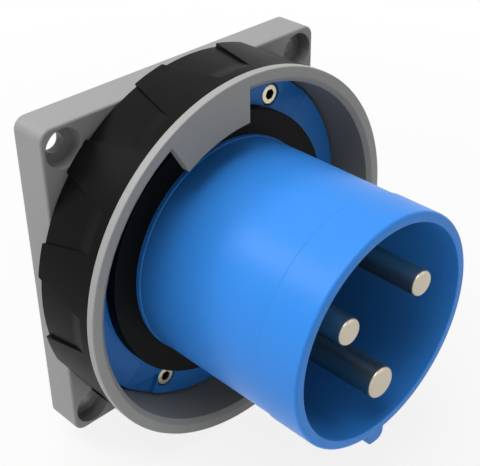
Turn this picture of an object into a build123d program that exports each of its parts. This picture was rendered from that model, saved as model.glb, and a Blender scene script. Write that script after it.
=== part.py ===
# Panel mounted pin and sleeve inlet with a bayonet locking ring.
# The panel lies in the plane Y = 0 and the sleeve points along -Y, with +Z up.
# The origin is the middle of the flange's back face, on the axis of the sleeve.
# Values named "front" or "back" are distances in front of the panel, in millimetres.

import os
from math import cos, radians, sin, sqrt

from build123d import *

os.makedirs("parts", exist_ok=True)

# The sleeve sets the size class, and the widths outside it step out from it
sleeve_outer_d = 71.0
sleeve_wall = 3.0
bore_step = 5.5
barrel_wall = 10.0
barrel_bore_d = sleeve_outer_d + 2 * bore_step
barrel_outer_d = barrel_bore_d + 2 * barrel_wall

# Flange and housing
flange_margin = 1.25
flange_width = barrel_outer_d + 2 * flange_margin
flange_thickness = 12.1
flange_corner_radius = 7.5
flange_edge_fillet = 1.3
mounting_hole_d = 6.0
mounting_hole_inset = 7.15
mounting_hole_spacing = flange_width - 2 * mounting_hole_inset
counterbore_d = 11.8
counterbore_depth = 4.8
boss_wall = 2.5
back_pocket_depth = 4.5
flange_rim_wall = 3.4
back_rib_count = 8
back_rib_thickness = 2.0
hub_inset = 2.5
spigot_wall = 2.2
spigot_length = 9.0
seal_gap = 0.8
seal_width = 3.2
seal_thickness = 2.0
seal_inner_d = barrel_bore_d + 2 * spigot_wall + 2 * seal_gap

# Blue insert
sleeve_front = 88.2
sleeve_relief = 0.35
nose_length = 14.2
mouth_fillet = 0.9
mouth_inner_fillet = 0.3
floor_overhang = 2.1
floor_d = barrel_outer_d + 2 * floor_overhang
floor_thickness = 4.1
shoulder_thickness = 3.5
skirt_length = 12.9
skirt_wall = 5.0
root_bead_height = 0.9
root_bead_width = 1.6
root_bead_slope = 0.3
key_width = 7.0
key_height = 4.6
key_crown_fillet = 2.6
floor_groove_width = 5.0
floor_groove_depth = 1.6
floor_groove_steep_side = 0.4
floor_groove_length = 17.0
floor_groove_tilt = 7.0
floor_groove_inset = 1.6
floor_groove_angle = 46.5

# Black locking ring, and the grey bezel and liner inside it
ring_floor_gap = 0.4
ring_wall = 5.5
ring_taper = 0.6
ring_inner_d = floor_d + 2 * ring_floor_gap
ring_front_d = ring_inner_d + 2 * ring_wall
ring_back_d = ring_front_d - 2 * ring_taper
ring_front = 34.2
ring_lip_height = 5.0
pad_count = 12
pad_first_angle = 15.0
pad_proud = 1.0
pad_length = 18.5
pad_back_angle = 10.0
pad_front_angle = 19.0
bezel_overhang = 0.15
bezel_outer_d = ring_front_d + 2 * bezel_overhang
bezel_thickness = 2.6
bezel_chamfer_width = 1.05
bezel_chamfer_depth = 1.3
bezel_edge_fillet = 0.3
liner_wall = 1.4
lug_reach = 8.4
lug_inner_d = ring_inner_d - 2 * lug_reach
lug_start_angle = 90.0
lug_span_angle = 30.5
lug_thickness = 3.2
ring_travel_angle = 38.0
stop_angle = 150.0
stop_span_angle = 8.0

# Contacts and their carrier
pin_circle_d = 35.0
contact_angle = 30.0
pin_reach = 0.2
line_pin_d = 8.0
earth_pin_d = 10.0
pin_tip_fillet = 1.3
shank_step = 0.3
shank_proud = 0.2
shank_relief = 0.6
line_barrel_d = 14.0
earth_barrel_d = 15.0
line_wire_d = 9.0
earth_wire_d = 9.6
collar_proud = 1.6
collar_length = 4.0
barrel_length = 24.0
wire_bore_depth = 21.0
cavity_floor_front = 24.0
carrier_flange_thickness = 3.3
plate_thickness = 3.2
barrier_thickness = 2.4
barrier_length = 20.0
barrier_reach = 36.0
pressure_pad_width = 5.0
pressure_pad_thickness = 1.2
pressure_pad_length = 17.0

# Seals
gasket_width = 7.75
gasket_outer_d = sleeve_outer_d + 2 * gasket_width
gasket_thickness = 4.0
insert_cord_d = 1.9
pin_cord_d = 1.5

# Fasteners
insert_screw_d = 4.0
insert_screw_length = 9.0
insert_head_d = 6.4
insert_head_height = 2.6
insert_head_sink = 0.4
insert_head_fillet = 0.4
insert_hex = 3.4
insert_hex_depth = 2.2
insert_screw_inset = 4.0
insert_screw_circle_d = barrel_outer_d - 2 * insert_screw_inset
insert_screw_angle = 60.4
bush_d = 5.6
bush_length = 8.5
carrier_screw_d = 2.9
carrier_screw_length = 13.0
carrier_screw_inset = 3.0
carrier_screw_count = 3
carrier_head_d = 5.2
carrier_head_height = 2.0
carrier_slot = 0.8
terminal_screw_d = 6.0
terminal_screw_proud = 2.0
terminal_slot = 1.2
terminal_slot_depth = 1.6
terminal_edge = 6.0
terminal_pitch = 9.0

# Clearances
loose_fit = 0.3
slide_fit = 0.1
snug_fit = 0.05
turn_gap = 0.4
stop_gap_angle = 0.6

# Stations in front of the panel, each worked out from what the piece rests on
lip_back = flange_thickness + turn_gap
lip_front = lip_back + ring_lip_height
barrel_front = lip_front + turn_gap
floor_front = barrel_front + floor_thickness
shoulder_front = floor_front - shoulder_thickness
skirt_back = barrel_front - skirt_length
gasket_front = floor_front + gasket_thickness
bezel_front = ring_front + bezel_thickness
nose_back = sleeve_front - nose_length
pin_tip_front = sleeve_front + pin_reach
carrier_back = skirt_back - carrier_flange_thickness
plate_back = carrier_back - plate_thickness
barrel_back = plate_back - barrel_length
head_front = floor_front - insert_head_sink
head_back = head_front - insert_head_height
o_ring_front = barrel_front - insert_cord_d - loose_fit

# Radii that several pieces share
sleeve_r = sleeve_outer_d / 2
sleeve_inner_r = sleeve_r - sleeve_wall
shaft_r = sleeve_r - sleeve_relief
bore_r = barrel_bore_d / 2
barrel_r = barrel_outer_d / 2
skirt_r = bore_r - 2 * slide_fit
carrier_bore_r = skirt_r - skirt_wall
ring_inner_r = ring_inner_d / 2
ring_front_r = ring_front_d / 2
liner_outer_r = ring_inner_r + liner_wall
grip_inner_r = liner_outer_r + snug_fit

front = Plane.XZ
section = Plane((0, 0, 0), x_dir=(1, 0, 0), z_dir=(0, 0, -1))
forward = (0, -1, 0)


def turned(*points):
    # Closed half section, each point a radius and a distance in front of the panel
    with BuildSketch(section, mode=Mode.PRIVATE) as profile:
        with BuildLine():
            Polyline(*points, close=True)
        make_face()
    return profile.sketch


def sector(station, inner_r, outer_r, start, end):
    # Part of a flat ring between two angles, measured from +X towards +Z
    with BuildSketch(front.offset(station), mode=Mode.PRIVATE) as piece:
        with BuildLine():
            outer = CenterArc((0, 0), outer_r, start, end - start)
            inner = CenterArc((0, 0), inner_r, start, end - start)
            Line(inner @ 0, outer @ 0)
            Line(inner @ 1, outer @ 1)
        make_face()
    return piece.sketch


def on_circle(radius, angle):
    return (radius * cos(radians(angle)), radius * sin(radians(angle)))


def finish(builder, node):
    builder.part.label = node
    export_step(builder.part, f"parts/{node}.step")


insert_screw_spots = [
    on_circle(insert_screw_circle_d / 2, insert_screw_angle + 180 * k) for k in range(2)
]
floor_groove_spots = [
    on_circle(floor_d / 2 - floor_groove_inset, floor_groove_angle + 180 * k) for k in range(2)
]
carrier_screw_spots = [
    on_circle(skirt_r - carrier_screw_inset, contact_angle + 360 / carrier_screw_count * k)
    for k in range(carrier_screw_count)
]

# Grey housing: a hollow-backed square flange with the barrel that the ring turns on
with BuildPart() as flange_housing:
    with BuildSketch(front):
        RectangleRounded(flange_width, flange_width, flange_corner_radius)
    extrude(amount=flange_thickness)
    fillet(flange_housing.faces().sort_by(Axis.Y)[0].edges(), flange_edge_fillet)
    with BuildSketch(front.offset(flange_thickness)):
        Circle(barrel_r)
    extrude(amount=barrel_front - flange_thickness)
    # Stops that meet the ends of the windows in the ring's lip
    for k in range(2):
        stop_middle = stop_angle + 180 * k
        stop_face = sector(
            flange_thickness, barrel_r - slide_fit, ring_inner_r - turn_gap,
            stop_middle - stop_span_angle / 2, stop_middle + stop_span_angle / 2,
        )
        extrude(stop_face, amount=ring_lip_height, dir=forward)
    # Hollow back round a solid hub, with radial ribs and a boss round each mounting hole
    with BuildSketch(front):
        RectangleRounded(
            flange_width - 2 * flange_rim_wall, flange_width - 2 * flange_rim_wall,
            flange_corner_radius - flange_rim_wall,
        )
        Circle(barrel_r - hub_inset, mode=Mode.SUBTRACT)
        with PolarLocations(0, back_rib_count, start_angle=180 / back_rib_count):
            Rectangle(2 * flange_width, back_rib_thickness, mode=Mode.SUBTRACT)
        with GridLocations(mounting_hole_spacing, mounting_hole_spacing, 2, 2):
            Circle(mounting_hole_d / 2 + boss_wall, mode=Mode.SUBTRACT)
    extrude(amount=back_pocket_depth, mode=Mode.SUBTRACT)
    with BuildSketch(front):
        Circle(bore_r + spigot_wall)
    extrude(amount=-spigot_length)
    with BuildSketch(front.offset(-spigot_length)):
        Circle(bore_r)
    extrude(amount=spigot_length + barrel_front, mode=Mode.SUBTRACT)
    with BuildSketch(front):
        Circle(seal_inner_d / 2 + seal_width)
        Circle(seal_inner_d / 2, mode=Mode.SUBTRACT)
    extrude(amount=seal_thickness, mode=Mode.SUBTRACT)
    with Locations(front.offset(flange_thickness)):
        with GridLocations(mounting_hole_spacing, mounting_hole_spacing, 2, 2):
            CounterBoreHole(mounting_hole_d / 2, counterbore_d / 2, counterbore_depth)
    with BuildSketch(front.offset(barrel_front)):
        with Locations(*insert_screw_spots):
            Circle(bush_d / 2 + snug_fit)
    extrude(amount=-bush_length - loose_fit, mode=Mode.SUBTRACT)
finish(flange_housing, "flange_housing")

# Rubber ring pressed against the panel
with BuildPart() as flange_seal:
    with BuildSketch(front):
        Circle(seal_inner_d / 2 + seal_width - snug_fit)
        Circle(seal_inner_d / 2 + snug_fit, mode=Mode.SUBTRACT)
    extrude(amount=seal_thickness - snug_fit)
finish(flange_seal, "flange_seal")

# Blue insert: floor, sleeve, root bead, key, and the skirt that enters the housing
with BuildPart() as sleeve_insert:
    groove_floor_r = bore_r - insert_cord_d - slide_fit
    groove_back = o_ring_front - insert_cord_d / 2 - loose_fit
    groove_front = o_ring_front + insert_cord_d / 2 + loose_fit
    bead_r = shaft_r + root_bead_height
    revolve(
        turned(
            (carrier_bore_r, skirt_back), (skirt_r, skirt_back), (skirt_r, groove_back),
            (groove_floor_r, groove_back), (groove_floor_r, groove_front),
            (skirt_r, groove_front), (skirt_r, barrel_front), (floor_d / 2, barrel_front),
            (floor_d / 2, floor_front), (shaft_r, floor_front), (shaft_r, gasket_front),
            (bead_r, gasket_front),
            (bead_r, gasket_front + root_bead_width - root_bead_slope),
            (shaft_r, gasket_front + root_bead_width),
            (shaft_r, nose_back - sleeve_relief), (sleeve_r, nose_back),
            (sleeve_r, sleeve_front), (sleeve_inner_r, sleeve_front),
            (sleeve_inner_r, shoulder_front), (carrier_bore_r, shoulder_front),
        ),
        axis=Axis.Y,
    )
    mouth_edges = sleeve_insert.faces().sort_by(Axis.Y)[0].edges().sort_by(SortBy.LENGTH)
    fillet(mouth_edges[-1], mouth_fillet)
    fillet(mouth_edges[0], mouth_inner_fillet)
    # Key along the bottom of the sleeve, with a rounded crown
    with BuildSketch(front.offset(gasket_front)) as key_profile:
        with Locations((0, -sleeve_r - key_height)):
            Rectangle(key_width, key_height + sleeve_wall / 2, align=(Align.CENTER, Align.MIN))
        fillet(key_profile.vertices().group_by(Axis.Y)[0], key_crown_fillet)
    extrude(amount=sleeve_front - gasket_front - mouth_fillet)
    # Drain groove in the floor beside each screw, with its steep side towards the screw
    for k in range(2):
        groove_tilt = radians(floor_groove_tilt + 180 * k)
        groove_x, groove_z = floor_groove_spots[k]
        groove_plane = Plane(
            (groove_x, -floor_front, groove_z),
            x_dir=(-sin(groove_tilt), 0, cos(groove_tilt)),
            z_dir=(cos(groove_tilt), 0, sin(groove_tilt)),
        )
        with BuildSketch(groove_plane):
            with BuildLine():
                half_groove = floor_groove_width / 2
                Polyline(
                    (-half_groove, 0), (-half_groove, floor_groove_depth),
                    (half_groove, floor_groove_depth), (half_groove, 0),
                    (half_groove - floor_groove_steep_side, -floor_groove_depth),
                    close=True,
                )
            make_face()
        extrude(amount=floor_groove_length / 2, both=True, mode=Mode.SUBTRACT)
    with Locations(front.offset(floor_front)):
        with Locations(*insert_screw_spots):
            CounterBoreHole(
                insert_screw_d / 2 + slide_fit, insert_head_d / 2 + loose_fit,
                floor_front - head_back, depth=2 * floor_thickness,
            )
    with BuildSketch(front.offset(skirt_back)):
        with Locations(*carrier_screw_spots):
            Circle(carrier_screw_d / 2 + snug_fit)
    extrude(
        amount=carrier_screw_length - plate_thickness - carrier_flange_thickness + loose_fit,
        mode=Mode.SUBTRACT,
    )
finish(sleeve_insert, "sleeve_insert")

# Sealing ring in the groove of the skirt
with BuildPart() as insert_o_ring:
    with Locations(front.offset(o_ring_front)):
        Torus(bore_r - slide_fit / 2 - insert_cord_d / 2, insert_cord_d / 2)
finish(insert_o_ring, "insert_o_ring")

# Black rubber ring that the mating connector is pressed against
with BuildPart() as face_gasket:
    revolve(
        turned(
            (shaft_r + snug_fit, floor_front), (gasket_outer_d / 2, floor_front),
            (gasket_outer_d / 2, gasket_front), (shaft_r + snug_fit, gasket_front),
        ),
        axis=Axis.Y,
    )
finish(face_gasket, "face_gasket")

# Insert screws, their threaded bushes in the housing
with BuildPart() as insert_screws:
    with BuildSketch(front.offset(head_back)):
        with Locations(*insert_screw_spots):
            Circle(insert_head_d / 2)
    extrude(amount=insert_head_height)
    fillet(insert_screws.faces().group_by(Axis.Y)[0].edges(), insert_head_fillet)
    with BuildSketch(front.offset(head_back)):
        with Locations(*insert_screw_spots):
            Circle(insert_screw_d / 2)
    extrude(amount=-insert_screw_length)
    with BuildSketch(front.offset(head_front)):
        with Locations(*insert_screw_spots):
            RegularPolygon(insert_hex / 2, 6, major_radius=False)
    extrude(amount=-insert_hex_depth, mode=Mode.SUBTRACT)
finish(insert_screws, "insert_screws")

with BuildPart() as screw_bushes:
    with BuildSketch(front.offset(barrel_front)):
        with Locations(*insert_screw_spots):
            Circle(bush_d / 2)
            Circle(insert_screw_d / 2 + snug_fit, mode=Mode.SUBTRACT)
    extrude(amount=-bush_length)
finish(screw_bushes, "screw_bushes")

# Locking ring: a trapped lip at the back, finger pads outside, a seat for the liner
with BuildPart() as pad_wedge:
    pad_r = ring_back_d / 2 + pad_proud
    pad_root_r = grip_inner_r + pad_proud
    pad_front = lip_back + pad_length
    revolve(
        turned(
            (pad_root_r, lip_back), (pad_r, lip_back),
            (ring_front_r, pad_front), (pad_root_r, pad_front),
        ),
        axis=Axis.Y,
    )
    with BuildSketch(Plane.XY.offset(pad_root_r / 2)):
        with BuildLine():
            half_back = pad_r * sin(radians(pad_back_angle / 2))
            half_front = pad_r * sin(radians(pad_front_angle / 2))
            Polyline(
                (-half_back, -lip_back), (half_back, -lip_back),
                (half_front, -pad_front), (-half_front, -pad_front), close=True,
            )
        make_face()
    extrude(amount=pad_r, mode=Mode.INTERSECT)

with BuildPart() as locking_ring:
    lip_inner_r = barrel_r + loose_fit
    revolve(
        turned(
            (lip_inner_r, lip_back), (ring_back_d / 2, lip_back), (ring_front_r, pad_front),
            (ring_front_r, ring_front), (grip_inner_r, ring_front),
            (grip_inner_r, lip_front), (lip_inner_r, lip_front),
        ),
        axis=Axis.Y,
    )
    for k in range(pad_count):
        add(pad_wedge.part.rotate(Axis.Y, 90 - pad_first_angle - 360 / pad_count * k))
    # Windows in the lip, as long as the ring's travel and the stop
    for k in range(2):
        stop_middle = stop_angle + 180 * k
        window = sector(
            lip_back, lip_inner_r - loose_fit, ring_inner_r,
            stop_middle - stop_span_angle / 2 - stop_gap_angle,
            stop_middle + stop_span_angle / 2 + ring_travel_angle + stop_gap_angle,
        )
        extrude(window, amount=ring_lip_height, dir=forward, mode=Mode.SUBTRACT)
finish(locking_ring, "locking_ring")

# Grey rim and liner in one piece, with the two bayonet lugs
with BuildPart() as ring_bezel:
    liner_back = lip_front + snug_fit
    revolve(
        turned(
            (ring_inner_r, liner_back), (liner_outer_r, liner_back),
            (liner_outer_r, ring_front), (bezel_outer_d / 2, ring_front),
            (bezel_outer_d / 2, bezel_front), (ring_inner_r + bezel_chamfer_width, bezel_front),
            (ring_inner_r, bezel_front - bezel_chamfer_depth),
        ),
        axis=Axis.Y,
    )
    fillet(ring_bezel.edges().sort_by(SortBy.LENGTH)[-2:], bezel_edge_fillet)
    for k in range(2):
        lug_start = lug_start_angle + 180 * k
        lug_end = lug_start + lug_span_angle
        lug_face = sector(
            ring_front, lug_inner_d / 2, ring_inner_r + bezel_chamfer_width + slide_fit,
            lug_start, lug_end,
        )
        extrude(lug_face, amount=bezel_thickness, dir=forward)
        lug_root = sector(
            bezel_front - lug_thickness, lug_inner_d / 2, ring_inner_r + liner_wall / 2,
            lug_start, lug_end,
        )
        extrude(lug_root, amount=lug_thickness - bezel_thickness, dir=forward)
finish(ring_bezel, "ring_bezel")

# Insulating carrier that the pins pass through
contacts = {
    "line": (contact_angle, line_pin_d, line_barrel_d, line_wire_d),
    "neutral": (contact_angle + 120, line_pin_d, line_barrel_d, line_wire_d),
    "earth": (contact_angle + 240, earth_pin_d, earth_barrel_d, earth_wire_d),
}

with BuildPart() as contact_carrier:
    revolve(
        turned(
            (0, carrier_back), (skirt_r, carrier_back), (skirt_r, skirt_back),
            (carrier_bore_r - snug_fit, skirt_back),
            (carrier_bore_r - snug_fit, shoulder_front - snug_fit),
            (sleeve_inner_r - snug_fit, shoulder_front - snug_fit),
            (sleeve_inner_r - snug_fit, cavity_floor_front), (0, cavity_floor_front),
        ),
        axis=Axis.Y,
    )
    for angle, pin_d, barrel_d, wire_d in contacts.values():
        with BuildSketch(front.offset(carrier_back)):
            with Locations(on_circle(pin_circle_d / 2, angle)):
                Circle(pin_d / 2 + shank_step + snug_fit)
        extrude(amount=cavity_floor_front - carrier_back, mode=Mode.SUBTRACT)
        with BuildSketch(front.offset(carrier_back)):
            with Locations(on_circle(pin_circle_d / 2, angle)):
                Circle(barrel_d / 2 + collar_proud + snug_fit)
        extrude(amount=collar_length + pin_cord_d + slide_fit, mode=Mode.SUBTRACT)
    with BuildSketch(front.offset(carrier_back)):
        with Locations(*carrier_screw_spots):
            Circle(carrier_screw_d / 2 + slide_fit)
    extrude(amount=carrier_flange_thickness, mode=Mode.SUBTRACT)
finish(contact_carrier, "contact_carrier")

# Plate that traps the pin collars, with barriers between the terminals
with BuildPart() as pin_plate:
    with BuildSketch(front.offset(plate_back)):
        Circle(skirt_r)
        for angle, pin_d, barrel_d, wire_d in contacts.values():
            with Locations(on_circle(pin_circle_d / 2, angle)):
                Circle(barrel_d / 2 + slide_fit, mode=Mode.SUBTRACT)
        with Locations(*carrier_screw_spots):
            Circle(carrier_screw_d / 2 + slide_fit, mode=Mode.SUBTRACT)
    extrude(amount=plate_thickness)
    with BuildSketch(front.offset(plate_back)):
        with PolarLocations(barrier_reach / 2, len(contacts), start_angle=contact_angle + 60):
            Rectangle(barrier_reach, barrier_thickness)
        Circle(barrier_thickness)
    extrude(amount=-barrier_length)
finish(pin_plate, "pin_plate")

# Screws that hold the plate and the carrier to the skirt
with BuildPart() as carrier_screws:
    with BuildSketch(front.offset(plate_back)):
        with Locations(*carrier_screw_spots):
            Circle(carrier_screw_d / 2)
    extrude(amount=carrier_screw_length)
    with BuildSketch(front.offset(plate_back)):
        with Locations(*carrier_screw_spots):
            Circle(carrier_head_d / 2)
    extrude(amount=-carrier_head_height)
    fillet(carrier_screws.faces().group_by(Axis.Y)[-1].edges(), carrier_head_height / 4)
    with BuildSketch(front.offset(plate_back - carrier_head_height)):
        with Locations(*carrier_screw_spots):
            Rectangle(carrier_head_d, carrier_slot)
            Rectangle(carrier_slot, carrier_head_d)
    extrude(amount=carrier_head_height / 2, mode=Mode.SUBTRACT)
finish(carrier_screws, "carrier_screws")

# Pins: contact end, relief at its shoulder, collar, and a bored barrel for the conductor
shank_front = cavity_floor_front + shank_proud
screw_stations = [barrel_back + terminal_edge + terminal_pitch * k for k in range(2)]

for name, (angle, pin_d, barrel_d, wire_d) in contacts.items():
    pin_x, pin_z = on_circle(pin_circle_d / 2, angle)
    toward_rim = (cos(radians(angle)), 0, sin(radians(angle)))
    collar_r = barrel_d / 2 + collar_proud
    pad_top = sqrt((wire_d / 2) ** 2 - (pressure_pad_width / 2) ** 2) - snug_fit

    with BuildPart() as pin:
        with BuildSketch(front.offset(barrel_back)):
            with Locations((pin_x, pin_z)):
                Circle(barrel_d / 2)
        extrude(amount=barrel_length + plate_thickness + slide_fit)
        with BuildSketch(front.offset(carrier_back + snug_fit)):
            with Locations((pin_x, pin_z)):
                Circle(collar_r)
        extrude(amount=collar_length - snug_fit)
        with BuildSketch(front.offset(carrier_back + collar_length)):
            with Locations((pin_x, pin_z)):
                Circle(pin_d / 2 + shank_step)
        extrude(amount=shank_front - carrier_back - collar_length)
        with BuildSketch(front.offset(shank_front)):
            with Locations((pin_x, pin_z)):
                Circle(pin_d / 2 - shank_step)
        extrude(amount=shank_relief)
        with BuildSketch(front.offset(shank_front + shank_relief)):
            with Locations((pin_x, pin_z)):
                Circle(pin_d / 2)
        extrude(amount=pin_tip_front - shank_front - shank_relief)
        fillet(pin.faces().sort_by(Axis.Y)[0].edges(), pin_tip_fillet)
        with BuildSketch(front.offset(barrel_back)):
            with Locations((pin_x, pin_z)):
                Circle(wire_d / 2)
        extrude(amount=wire_bore_depth, mode=Mode.SUBTRACT)
        for station in screw_stations:
            with BuildSketch(Plane((pin_x, -station, pin_z), x_dir=(0, 1, 0), z_dir=toward_rim)):
                Circle(terminal_screw_d / 2 + snug_fit)
            extrude(amount=barrel_d, mode=Mode.SUBTRACT)
    finish(pin, f"{name}_pin")

    with BuildPart() as pressure_pad:
        pad_station = (screw_stations[0] + screw_stations[-1]) / 2
        pad_plane = Plane((pin_x, -pad_station, pin_z), x_dir=(0, 1, 0), z_dir=toward_rim)
        with BuildSketch(pad_plane.offset(pad_top)):
            RectangleRounded(pressure_pad_length, pressure_pad_width, pressure_pad_width / 5)
        extrude(amount=-pressure_pad_thickness)
    finish(pressure_pad, f"{name}_pressure_pad")

# Slotted clamping screws, two in each barrel
with BuildPart() as terminal_screws:
    for angle, pin_d, barrel_d, wire_d in contacts.values():
        pin_x, pin_z = on_circle(pin_circle_d / 2, angle)
        toward_rim = (cos(radians(angle)), 0, sin(radians(angle)))
        pad_top = sqrt((wire_d / 2) ** 2 - (pressure_pad_width / 2) ** 2) - snug_fit
        screw_top = barrel_d / 2 + terminal_screw_proud
        for station in screw_stations:
            screw_plane = Plane((pin_x, -station, pin_z), x_dir=(0, 1, 0), z_dir=toward_rim)
            with BuildSketch(screw_plane.offset(pad_top + snug_fit)):
                Circle(terminal_screw_d / 2)
            extrude(amount=screw_top - pad_top - snug_fit)
            with BuildSketch(screw_plane.offset(screw_top)):
                Rectangle(terminal_screw_d, terminal_slot)
            extrude(amount=-terminal_slot_depth, mode=Mode.SUBTRACT)
finish(terminal_screws, "terminal_screws")

# Sealing rings in front of the pin collars
pin_o_ring_front = carrier_back + collar_length + pin_cord_d / 2 + snug_fit

with BuildPart() as line_pin_o_rings:
    for angle in (contacts["line"][0], contacts["neutral"][0]):
        with Locations(front.offset(pin_o_ring_front)):
            with Locations(on_circle(pin_circle_d / 2, angle)):
                Torus(line_pin_d / 2 + shank_step + pin_cord_d / 2 + snug_fit, pin_cord_d / 2)
finish(line_pin_o_rings, "line_pin_o_rings")

with BuildPart() as earth_pin_o_ring:
    with Locations(front.offset(pin_o_ring_front)):
        with Locations(on_circle(pin_circle_d / 2, contacts["earth"][0])):
            Torus(earth_pin_d / 2 + shank_step + pin_cord_d / 2 + snug_fit, pin_cord_d / 2)
finish(earth_pin_o_ring, "earth_pin_o_ring")
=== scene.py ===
from math import ceil, cos, pi, radians, sin, sqrt, tan

import bmesh
import bpy
from mathutils import Matrix, Vector


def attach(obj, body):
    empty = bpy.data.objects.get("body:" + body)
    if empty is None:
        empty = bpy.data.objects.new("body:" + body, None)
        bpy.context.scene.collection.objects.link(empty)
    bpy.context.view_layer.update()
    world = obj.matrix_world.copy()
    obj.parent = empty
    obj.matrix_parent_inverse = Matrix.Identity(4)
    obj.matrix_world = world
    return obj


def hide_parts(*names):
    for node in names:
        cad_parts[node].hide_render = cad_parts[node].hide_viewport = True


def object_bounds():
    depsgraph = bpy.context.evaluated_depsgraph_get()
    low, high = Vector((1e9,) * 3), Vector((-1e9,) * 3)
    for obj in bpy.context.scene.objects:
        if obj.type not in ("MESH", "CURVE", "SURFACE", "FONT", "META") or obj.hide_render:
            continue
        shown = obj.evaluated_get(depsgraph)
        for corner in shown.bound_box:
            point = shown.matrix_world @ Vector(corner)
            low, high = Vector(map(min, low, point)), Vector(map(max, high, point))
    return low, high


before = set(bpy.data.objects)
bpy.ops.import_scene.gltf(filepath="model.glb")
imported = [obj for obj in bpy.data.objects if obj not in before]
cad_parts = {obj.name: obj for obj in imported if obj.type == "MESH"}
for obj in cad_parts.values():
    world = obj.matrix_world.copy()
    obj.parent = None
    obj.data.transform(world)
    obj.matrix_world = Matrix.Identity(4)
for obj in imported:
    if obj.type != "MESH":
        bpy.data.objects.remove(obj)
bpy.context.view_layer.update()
mm = 0.001
scene = bpy.context.scene
print("stage: frame loaded,", len(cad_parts), "nodes")

# Values that all pieces share
facets = {"ring": 256, "body": 192, "pin": 72, "hole": 64, "screw": 48, "drill": 40}  # round each shape
cornerStep = 12.0  # most degrees between the points of a rounded corner
creaseAngle = 32.0  # degrees above which an edge stays sharp
weld = 1e-7  # metres within which points are merged
past = 1.0  # how far a cutter reaches beyond what it cuts
lift = 0.01  # keeps a cutter's flat faces off the plane that it opens in
overlap = 0.2  # how deep joined shapes reach into each other


# Mesh helpers
def newPiece(name, data):
    piece = bpy.data.objects.new(name, data)
    scene.collection.objects.link(piece)
    return piece


def meshPiece(bm, name):
    mesh = bpy.data.meshes.new(name)
    bm.to_mesh(mesh)
    bm.free()
    return newPiece(name, mesh)


def closedPiece(bm, name):
    bmesh.ops.remove_doubles(bm, verts=bm.verts, dist=weld)
    bmesh.ops.recalc_face_normals(bm, faces=bm.faces)
    return meshPiece(bm, name)


def roundLoop(points):
    # closed loop of (x, y) or (x, y, radius) corners, with an arc at each rounded corner
    loop = []
    for k, corner in enumerate(points):
        here = Vector(corner[:2])
        radius = corner[2] if len(corner) > 2 else 0
        if not radius:
            loop.append(tuple(here))
            continue
        before = (Vector(points[k - 1][:2]) - here).normalized()
        after = (Vector(points[(k + 1) % len(points)][:2]) - here).normalized()
        opening = before.angle(after)
        inset = radius / tan(opening / 2)
        centre = here + (before + after).normalized() * (radius / sin(opening / 2))
        start = here + before * inset - centre
        sweep = start.angle_signed(here + after * inset - centre)
        steps = max(3, ceil(abs(sweep) / radians(cornerStep)))
        for i in range(steps + 1):
            turn = -sweep * i / steps
            loop.append((centre.x + start.x * cos(turn) - start.y * sin(turn),
                         centre.y + start.x * sin(turn) + start.y * cos(turn)))
    return loop


def turned(name, points, count, spot=(0, 0)):
    # turns a closed half section of (radius, w) about a line parallel to Y through spot
    section = roundLoop(points)
    bm = bmesh.new()
    rings = []
    for k in range(count):
        a = 2 * pi * k / count
        rings.append([bm.verts.new(((spot[0] + r * cos(a)) * mm, -w * mm, (spot[1] + r * sin(a)) * mm))
                      for r, w in section])
    for k in range(count):
        here, there = rings[k], rings[(k + 1) % count]
        for j in range(len(section)):
            i = (j + 1) % len(section)
            if section[j][0] or section[i][0]:
                bm.faces.new((here[j], here[i], there[i], there[j]))
    return closedPiece(bm, name)


def rod(radius, back, front):
    # half section of a plain cylinder
    return [(0, back), (radius, back), (radius, front), (0, front)]


def drillMouth(radius, front, soft):
    # last corners of a cutter's half section, which round the mouth of its hole over
    return [(radius, front + lift, soft), (radius + past, front + lift),
            (radius + past, front + past), (0, front + past)]


def joinedRims(low, high, back, front):
    # two outlines of as many (x, z) corners, closed and joined by upright or sloping faces
    bm = bmesh.new()
    rims = [[bm.verts.new((x * mm, -w * mm, z * mm)) for x, z in outline]
            for outline, w in ((low, back), (high, front))]
    for rim in rims:
        bm.faces.new(rim)
    for j in range(len(low)):
        i = (j + 1) % len(low)
        bm.faces.new((rims[0][j], rims[0][i], rims[1][i], rims[1][j]))
    return bm, rims


def tapered(name, low, high, back, front):
    bm, rims = joinedRims(low, high, back, front)
    return closedPiece(bm, name)


def prism(name, outline, back, front, soft=0.0, softSteps=3, softBack=0.0):
    # upright sides on an outline of (x, z) corners, with the front or back edge rounded over
    loop = roundLoop(outline)
    bm, (low, high) = joinedRims(loop, loop, back, front)
    bmesh.ops.recalc_face_normals(bm, faces=bm.faces)
    for edgeSoft, rim in ((soft, high), (softBack, low)):
        if edgeSoft:
            ends = set(rim)
            edges = [e for e in bm.edges if e.verts[0] in ends and e.verts[1] in ends]
            bmesh.ops.bevel(bm, geom=edges, offset=edgeSoft * mm, segments=softSteps, profile=0.5,
                            affect="EDGES", clamp_overlap=True)
    return closedPiece(bm, name)


def squareOutline(half, corner):
    return [(half, half, corner), (-half, half, corner), (-half, -half, corner), (half, -half, corner)]


def barOutline(near, far, half):
    # a bar along X, from near to far
    return [(near, -half), (far, -half), (far, half), (near, half)]


def onCircle(radius, angle):
    return radius * cos(radians(angle)), radius * sin(radians(angle))


def sectorOutline(inner, outer, start, end, step=2.0):
    # part of a flat ring between two angles, counted from +X towards +Z
    count = max(2, ceil((end - start) / step))
    angles = [start + (end - start) * i / count for i in range(count + 1)]
    return [onCircle(outer, a) for a in angles] + [onCircle(inner, a) for a in reversed(angles)]


def evaluated(piece):
    # bakes a piece with its modifiers to a plain mesh
    name = piece.name
    graph = bpy.context.evaluated_depsgraph_get()
    mesh = bpy.data.meshes.new_from_object(piece.evaluated_get(graph), depsgraph=graph)
    bpy.data.objects.remove(piece)
    return newPiece(name, mesh)


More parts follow.
